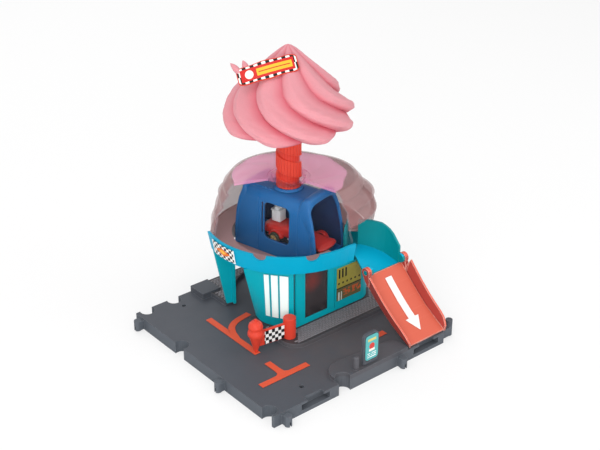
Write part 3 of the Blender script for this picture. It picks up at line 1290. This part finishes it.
def make_chute(look):
    """The curved chute with its tall outer wall, hinge pins and lifting stop."""
    count = 11
    left, right = chute_paths(count)
    top, bottom = [], []
    for i in range(count):
        z = chute_height(i / (count - 1))
        across = [left[i] * (1 - t) + right[i] * t for t in (0, 0.33, 0.67, 1)]
        top.append([(p[0], p[1], z) for p in across])
        bottom.append([(p[0], p[1], z - CHUTE_WALL) for p in across])
    chute = add_piece("chute", shell_shape(top, bottom), look)
    shares = np.interp(np.linspace(0, 1, count), np.linspace(0, 1, len(CHUTE_TOP_SHARES)), CHUTE_TOP_SHARES)
    ring_top = RING_LOW + RING_HEIGHT
    inside = offset_path(right, -CHUTE_WALL)
    outer, inner = [], []
    for i in range(count):
        z = chute_height(i / (count - 1))
        high = z + (ring_top - z) * shares[i]
        outer.append([(right[i][0], right[i][1], z - CHUTE_WALL + GAP / 3), (right[i][0], right[i][1], high)])
        inner.append([(inside[i][0], inside[i][1], z - CHUTE_WALL + GAP / 3), (inside[i][0], inside[i][1], high)])
    shape_with(chute, "chute_wall", shell_shape(outer, inner), "UNION")
    axis = Matrix.Translation((0, -RAMP_AXIS_Y, RAMP_AXIS_Z)) @ Matrix.Rotation(math.pi / 2, 4, "Y")
    ears = ((RAMP_LEFT + GAP, RAMP_LEFT + GAP + CHUTE_WALL, RAMP_LEFT - RAMP_FLARE),
            (RAMP_RIGHT - GAP - CHUTE_WALL, RAMP_RIGHT - GAP, RAMP_RIGHT + RAMP_FLARE))
    lugs = []
    for x0, x1, far in ears:
        rear = -RAMP_AXIS_Y + CHUTE_LUG_RADIUS * 1.6
        foot = CHUTE_FLOOR_LOW - CHUTE_WALL / 2
        front = -CHUTE_END_Y + 2 * GAP
        lug = [(front, foot), (rear, foot), (rear, RAMP_AXIS_Z - CHUTE_LUG_RADIUS / 2)]
        for i in range(9):
            turn = math.radians(60 + 210 * i / 8)
            lug.append((-RAMP_AXIS_Y + CHUTE_LUG_RADIUS * math.cos(turn), RAMP_AXIS_Z + CHUTE_LUG_RADIUS * math.sin(turn)))
        lug.append((front, RAMP_AXIS_Z - CHUTE_LUG_RADIUS))
        upright = Matrix(((0, 0, 1, 0), (1, 0, 0, 0), (0, 1, 0, 0), (0, 0, 0, 1)))
        lugs.append(moved(prism_shape(lug, x0, x1), upright))
        near, reach = sorted(((x0 + x1) / 2, far))
        lugs.append(moved(disc_shape((0, 0), RAMP_PIN_RADIUS, near, reach, 20), axis))
    shape_with(chute, "chute_lugs", together(*lugs), "UNION", itself=True)


def ramp_line(along):
    """Height of the ramp's floor at a share of its run: an even sag."""
    drop = np.interp(along, [a for a, _ in RAMP_CURVE_SHARES], [h for _, h in RAMP_CURVE_SHARES])
    return RAMP_FOOT_Z + (CHUTE_FLOOR_LOW - RAMP_FOOT_Z) * drop


def ramp_y(along):
    """Place of a share of the ramp's run."""
    start = CHUTE_END_Y + 2 * GAP
    return -(start + (RAMP_FOOT_Y - start) * along)


def make_ramp(look, paint, pivot):
    """The ramp: a sagging floor between flared side plates with hinge ears, and its arrow."""
    stations = [a for a, _ in RAMP_CURVE_SHARES]
    left, right = RAMP_LEFT - GAP, RAMP_RIGHT + GAP
    top = [[(x, ramp_y(a), ramp_line(a)) for x in (left, right)] for a in stations]
    low = [[(x, y, z - RAMP_FLOOR * (1 - 0.5 * a)) for x, y, z in row] for row, a in zip(top, stations)]
    ramp = add_piece("ramp", shell_shape(top, low), look, pivot)
    upright = Matrix(((0, 0, 1, 0), (1, 0, 0, 0), (0, 1, 0, 0), (0, 0, 0, 1)))
    for side, (edge, out) in {"left": (RAMP_LEFT, -1), "right": (RAMP_RIGHT, 1)}.items():
        outer, inner = [], []
        for a in [0.0, 0.10, 0.14] + stations[1:-1] + [0.93, 0.98, 1.01]:
            floor = ramp_line(a)
            rail = RAMP_RAIL_HIGH + (RAMP_RAIL_LOW - RAMP_RAIL_HIGH) * a
            if a < 0.12:
                rail = RAMP_NOTCH
            if a > 0.9:
                rail = RAMP_RAIL_LOW + (RAMP_RAIL_FOOT - RAMP_RAIL_LOW) * ((a - 0.9) / 0.11) ** 2
            keel = RAMP_KEEL_HIGH + (RAMP_KEEL_LOW - RAMP_KEEL_HIGH) * min(1.0, a)
            lean = RAMP_FLARE * rail / RAMP_RAIL_HIGH
            z0, z1 = floor - keel, floor + rail
            outer.append([(edge + out * RAMP_PLATE, ramp_y(a), z0), (edge + out * (RAMP_PLATE + lean), ramp_y(a), z1)])
            inner.append([(edge, ramp_y(a), z0), (edge + out * lean, ramp_y(a), z1)])
        shape_with(ramp, side + "_plate", shell_shape(outer, inner), "UNION")
        ear = []
        for i in range(13):
            turn = math.radians(-30 + 240 * i / 12)
            ear.append((-RAMP_AXIS_Y + RAMP_EAR_RADIUS * math.cos(turn), RAMP_AXIS_Z + RAMP_EAR_RADIUS * math.sin(turn)))
        ear += [(ramp_y(0.11), ramp_line(0.11) + RAMP_NOTCH), (ramp_y(0.09), ramp_line(0.09) - RAMP_KEEL_HIGH / 2),
                (ramp_y(0.015), ramp_line(0.015) - RAMP_KEEL_HIGH / 2)]
        x0, x1 = sorted((edge + out * GAP / 3, edge + out * (RAMP_FLARE - GAP)))
        shape_with(ramp, side + "_ear", moved(prism_shape(ear, x0, x1), upright), "UNION")
    bores = disc_shape((0, 0), RAMP_PIN_RADIUS + RAMP_BORE_PLAY, RAMP_LEFT - 2 * RAMP_FLARE, RAMP_RIGHT + 2 * RAMP_FLARE, 20)
    lay = Matrix.Translation((0, -RAMP_AXIS_Y, RAMP_AXIS_Z)) @ Matrix.Rotation(math.pi / 2, 4, "Y")
    shape_with(ramp, "ramp_bores", moved(bores, lay))
    middle = (RAMP_LEFT + RAMP_RIGHT) / 2
    head = ARROW_END_SHARE - ARROW_HEAD_SHARE
    widths = [(a, ARROW_WIDTH) for a in np.linspace(ARROW_START_SHARE, head, 8)]
    widths += [(head + ARROW_STEP_SHARE, ARROW_HEAD_WIDTH), (ARROW_END_SHARE, ARROW_POINT)]
    above, below = [], []
    for a, width in widths:
        slope = (ramp_line(a + ARROW_STEP_SHARE) - ramp_line(a - ARROW_STEP_SHARE)) / 2 / ARROW_STEP_SHARE
        rise = math.hypot(1.0, slope / (RAMP_FOOT_Y - CHUTE_END_Y))
        for rows, lift in ((above, GAP + STICKER), (below, GAP)):
            z = ramp_line(a) + lift * rise
            rows.append([(middle - width / 2, ramp_y(a), z), (middle + width / 2, ramp_y(a), z)])
    add_piece("ramp_arrow", shell_shape(above, below), paint, pivot)


def make_gate(red, paper, pivot):
    """The gate arm with its sleeve, panel, cone and ball, the chequered faces and the pin."""
    floor = BASE_HEIGHT + PAVEMENT_HEIGHT
    low = floor + GAP
    centre = Matrix.Translation((-GATE_X, -GATE_Y, 0)) @ Matrix.Rotation(-math.radians(GATE_YAW_DEG), 4, "Z")
    bore = GATE_PIN_RADIUS + GATE_PIN_PLAY
    top = low + GATE_SLEEVE_HEIGHT
    inside = top - GATE_SLEEVE_TOP
    profile = [(bore, low), (GATE_SLEEVE_RADIUS, low), (GATE_SLEEVE_RADIUS, top - GAP), (GATE_SLEEVE_RADIUS * 0.92, top),
               (0, top), (0, inside), (bore, inside)]
    arm = add_piece("gate_arm", moved(turned_shape(profile, 28, closed=True), centre), red, pivot)
    tip = BASE_HEIGHT + 2 * GAP
    rim = tip + GATE_CONE_HEIGHT
    ball = rim + GATE_BALL_RISE
    profile = [(0, tip), (GATE_CONE_TIP, tip), (GATE_CONE_RIM, rim - GATE_LIP_HEIGHT),
               (GATE_CONE_RIM + GATE_LIP, rim - GATE_LIP_HEIGHT), (GATE_CONE_RIM + GATE_LIP, rim)]
    for i in range(5):
        turn = math.radians(-20 + 100 * i / 4)
        profile.append((GATE_BALL_RADIUS * math.cos(turn), ball + GATE_BALL_RADIUS * math.sin(turn)))
    peak = ball + GATE_BALL_RADIUS
    profile += [(GATE_NIPPLE, peak + GATE_NIPPLE / 2), (0, peak + GATE_NIPPLE)]
    cone = moved(turned_shape(profile, 20), centre @ Matrix.Translation((-GATE_REACH, 0, 0)))
    shape_with(arm, "gate_cone", cone, "UNION")
    half = GATE_PANEL_THICKNESS / 2
    panel_low = low + GATE_PANEL_LOW
    near, far = -GATE_SLEEVE_RADIUS * 0.9, -GATE_REACH + GATE_CONE_TIP
    panel = box_shape((far, -half, panel_low), (near, half, panel_low + GATE_PANEL_HEIGHT))
    shape_with(arm, "gate_panel", moved(panel, centre), "UNION")
    edge = STICKER * 2
    for side, name in ((-1, "gate_checks_front"), (1, "gate_checks_back")):
        ys = sorted((side * (half + GAP), side * (half + GAP + STICKER)))
        face = box_shape((-GATE_REACH + GATE_CONE_RIM + 2 * GATE_LIP, ys[0], panel_low + edge),
                         (-GATE_SLEEVE_RADIUS - edge, ys[1], panel_low + GATE_PANEL_HEIGHT - edge))
        add_piece(name, moved(face, centre), paper, pivot)


def make_gate_pin(look):
    """The pin that the gate's sleeve turns on, moulded on its own foot."""
    low = BASE_HEIGHT + PAVEMENT_HEIGHT
    high = low + GATE_SLEEVE_HEIGHT - GATE_SLEEVE_TOP - GAP
    pin = disc_shape((-GATE_X, -GATE_Y), GATE_PIN_RADIUS, low + GAP, high, 20)
    add_piece("gate_pin", pin, look)


def car_levels():
    """Ground, axle height and the body's lower and upper heights."""
    ground = CAB_FLOOR_TOP + GAP
    low = ground + CAR_CLEARANCE + CAR_CHASSIS + GAP
    return ground, ground + CAR_WHEEL_RADIUS, low, low + CAR_BODY_HEIGHT


def make_car(body_look, dark, white, steel, wheel_look, slide, axles):
    """The toy car: body, chassis, engine, windscreen, axles and wheels."""
    place = cab_matrix()
    ground, axle_z, low, high = car_levels()
    half_width = CAR_WIDTH / 2
    side_view = [(CAR_CENTRE - CAR_LENGTH / 2, low), (CAR_CENTRE + CAR_LENGTH / 2, low)]
    for along, height in CAR_BODY_SHARES[::-1]:
        side_view.append((CAR_CENTRE + along * CAR_LENGTH, low + height * (high - low)))
    stand = Matrix(((1, 0, 0, 0), (0, 0, 1, 0), (0, 1, 0, 0), (0, 0, 0, 1)))
    body = add_piece("car_body", moved(prism_shape(side_view, -half_width, half_width), place @ stand), body_look, slide)
    arches = []
    inner_face = CAR_TRACK / 2 - CAR_WHEEL_WIDTH / 2 - CAR_ARCH
    for along in (-0.5, 0.5):
        centre = (CAR_CENTRE + along * CAR_WHEELBASE, axle_z)
        for near, far in ((inner_face, half_width + OVERRUN), (-half_width - OVERRUN, -inner_face)):
            arches.append(moved(disc_shape(centre, CAR_WHEEL_RADIUS + CAR_ARCH, near, far, 24), place @ stand))
    shape_with(body, "wheel_arches", together(*arches))
    slim = inner_face - GAP
    chassis_low = ground + CAR_CLEARANCE
    base = add_piece("car_chassis", moved(box_shape(
        (CAR_CENTRE - CAR_LENGTH * 0.47, -slim, chassis_low),
        (CAR_CENTRE + CAR_LENGTH * 0.46, slim, chassis_low + CAR_CHASSIS)), place), dark, slide)
    bore = CAR_AXLE_RADIUS + CAR_AXLE_PLAY
    slots = []
    for along in (-0.5, 0.5):
        x = CAR_CENTRE + along * CAR_WHEELBASE
        bar = disc_shape((x, axle_z), bore, -half_width - OVERRUN, half_width + OVERRUN, 16)
        slots.append(moved(bar, place @ stand))
    shape_with(base, "axle_ways_low", together(*slots))
    shape_with(body, "axle_ways_high", together(*slots))
    engine_x = CAR_CENTRE + ENGINE_SHARE * CAR_LENGTH
    edge_share = ENGINE_SHARE + ENGINE_SIZE / 2 / CAR_LENGTH
    deck_share = np.interp(edge_share, [a for a, _ in CAR_BODY_SHARES], [h for _, h in CAR_BODY_SHARES])
    top = low + deck_share * (high - low) + GAP
    engine = prism_shape(rounded_rectangle((engine_x - ENGINE_SIZE / 2, -ENGINE_SIZE / 2),
                                           (engine_x + ENGINE_SIZE / 2, ENGINE_SIZE / 2), ENGINE_SIZE / 6, 3),
                         top, top + ENGINE_HEIGHT)
    add_piece("car_engine", moved(engine, place), white, slide)
    for name, along, pivot in (("rear", -0.5, axles[0]), ("front", 0.5, axles[1])):
        x = CAR_CENTRE + along * CAR_WHEELBASE
        inner = CAR_TRACK / 2 - CAR_WHEEL_WIDTH / 2
        bar = disc_shape((x, axle_z), CAR_AXLE_RADIUS, -inner + GAP, inner - GAP, 14)
        add_piece(name + "_axle", moved(bar, place @ stand), steel, pivot)
        for side, label in ((-1, "right"), (1, "left")):
            centre = side * CAR_TRACK / 2
            wheel = turned_shape([(0, -CAR_WHEEL_WIDTH / 2), (CAR_WHEEL_RADIUS * 0.9, -CAR_WHEEL_WIDTH / 2),
                                  (CAR_WHEEL_RADIUS, -CAR_WHEEL_WIDTH / 3), (CAR_WHEEL_RADIUS, CAR_WHEEL_WIDTH / 3),
                                  (CAR_WHEEL_RADIUS * 0.9, CAR_WHEEL_WIDTH / 2), (0, CAR_WHEEL_WIDTH / 2)], 20)
            lay = place @ Matrix.Translation((x, centre, axle_z)) @ Matrix.Rotation(math.pi / 2, 4, "X")
            add_piece(name + "_" + label + "_wheel", moved(wheel, lay), wheel_look, pivot)


def build():
    """Make every piece, with one empty for each joint."""
    clear_scene()
    teal = finish("teal_plastic", (0.010, 0.400, 0.550))
    grey = finish("grey_plastic", (0.085, 0.090, 0.100), 0.5)
    blue = finish("blue_plastic", (0.030, 0.090, 0.270))
    red = finish("red_plastic", (0.760, 0.070, 0.050))
    orange = finish("orange_plastic", (0.880, 0.130, 0.070))
    pink = finish("pink_plastic", (0.800, 0.280, 0.370))
    pink_clear = finish("pink_clear_plastic", (0.850, 0.350, 0.500), 0.3, 0.6)
    brown = finish("brown_clear_plastic", (0.140, 0.055, 0.050), 0.3, 0.7)
    deck_brown = finish("brown_plastic", (0.110, 0.045, 0.040))
    clear = finish("clear_plastic", (0.9, 0.9, 0.9), 0.1, 0.15)
    white = finish("white_plastic", (0.850, 0.850, 0.850))
    sticker = finish("sticker_film", (0.800, 0.800, 0.780), 0.35)
    dark = finish("dark_plastic", (0.030, 0.030, 0.035))
    tan = finish("tan_plastic", (0.550, 0.380, 0.200))
    steel = metal("steel", (0.600, 0.600, 0.620))

    ramp_axis = pivot_at("ramp_axis", ((RAMP_LEFT + RAMP_RIGHT) / 2, -RAMP_AXIS_Y, RAMP_AXIS_Z))
    gate_axis = pivot_at("gate_axis", (-GATE_X, -GATE_Y, BASE_HEIGHT + PAVEMENT_HEIGHT))
    turn_axis = pivot_at("turn_axis", (0, 0, DOME_TOP))
    lift_axis = pivot_at("lift_axis", (0, 0, COLUMN_LOW), turn_axis)
    axle_z = car_levels()[1]
    car_slide = pivot_at("car_slide", along_cab(CAR_CENTRE, 0, axle_z), lift_axis)
    axles = [pivot_at(name, along_cab(CAR_CENTRE + share * CAR_WHEELBASE, 0, axle_z), car_slide)
             for name, share in (("rear_axle_line", -0.5), ("front_axle_line", 0.5))]

    make_base(grey)
    make_board(grey, sticker)
    make_road_marks(orange)
    make_front_wall(teal, sticker, brown)
    make_striped_wall(teal, white)
    for name, azimuth in zip(PILLAR_NAMES, PILLAR_AZIMUTHS_DEG):
        make_pillar(name, azimuth, teal)
    make_ring(teal, sticker)
    make_deck(deck_brown)
    make_dome(brown, clear)
    make_cap(pink_clear, clear)
    make_chute(teal)
    make_ramp(orange, white, ramp_axis)
    make_gate_pin(red)
    make_gate(red, sticker, gate_axis)
    make_bush(pink_clear, turn_axis)
    make_column(red, steel, lift_axis)
    swirl = make_swirl(pink, lift_axis)
    make_sign(red, sticker, lift_axis, swirl)
    make_cab(blue, dark, red, lift_axis)
    make_lift_plates(deck_brown, lift_axis)
    make_car(red, dark, white, steel, tan, car_slide, axles)


build()
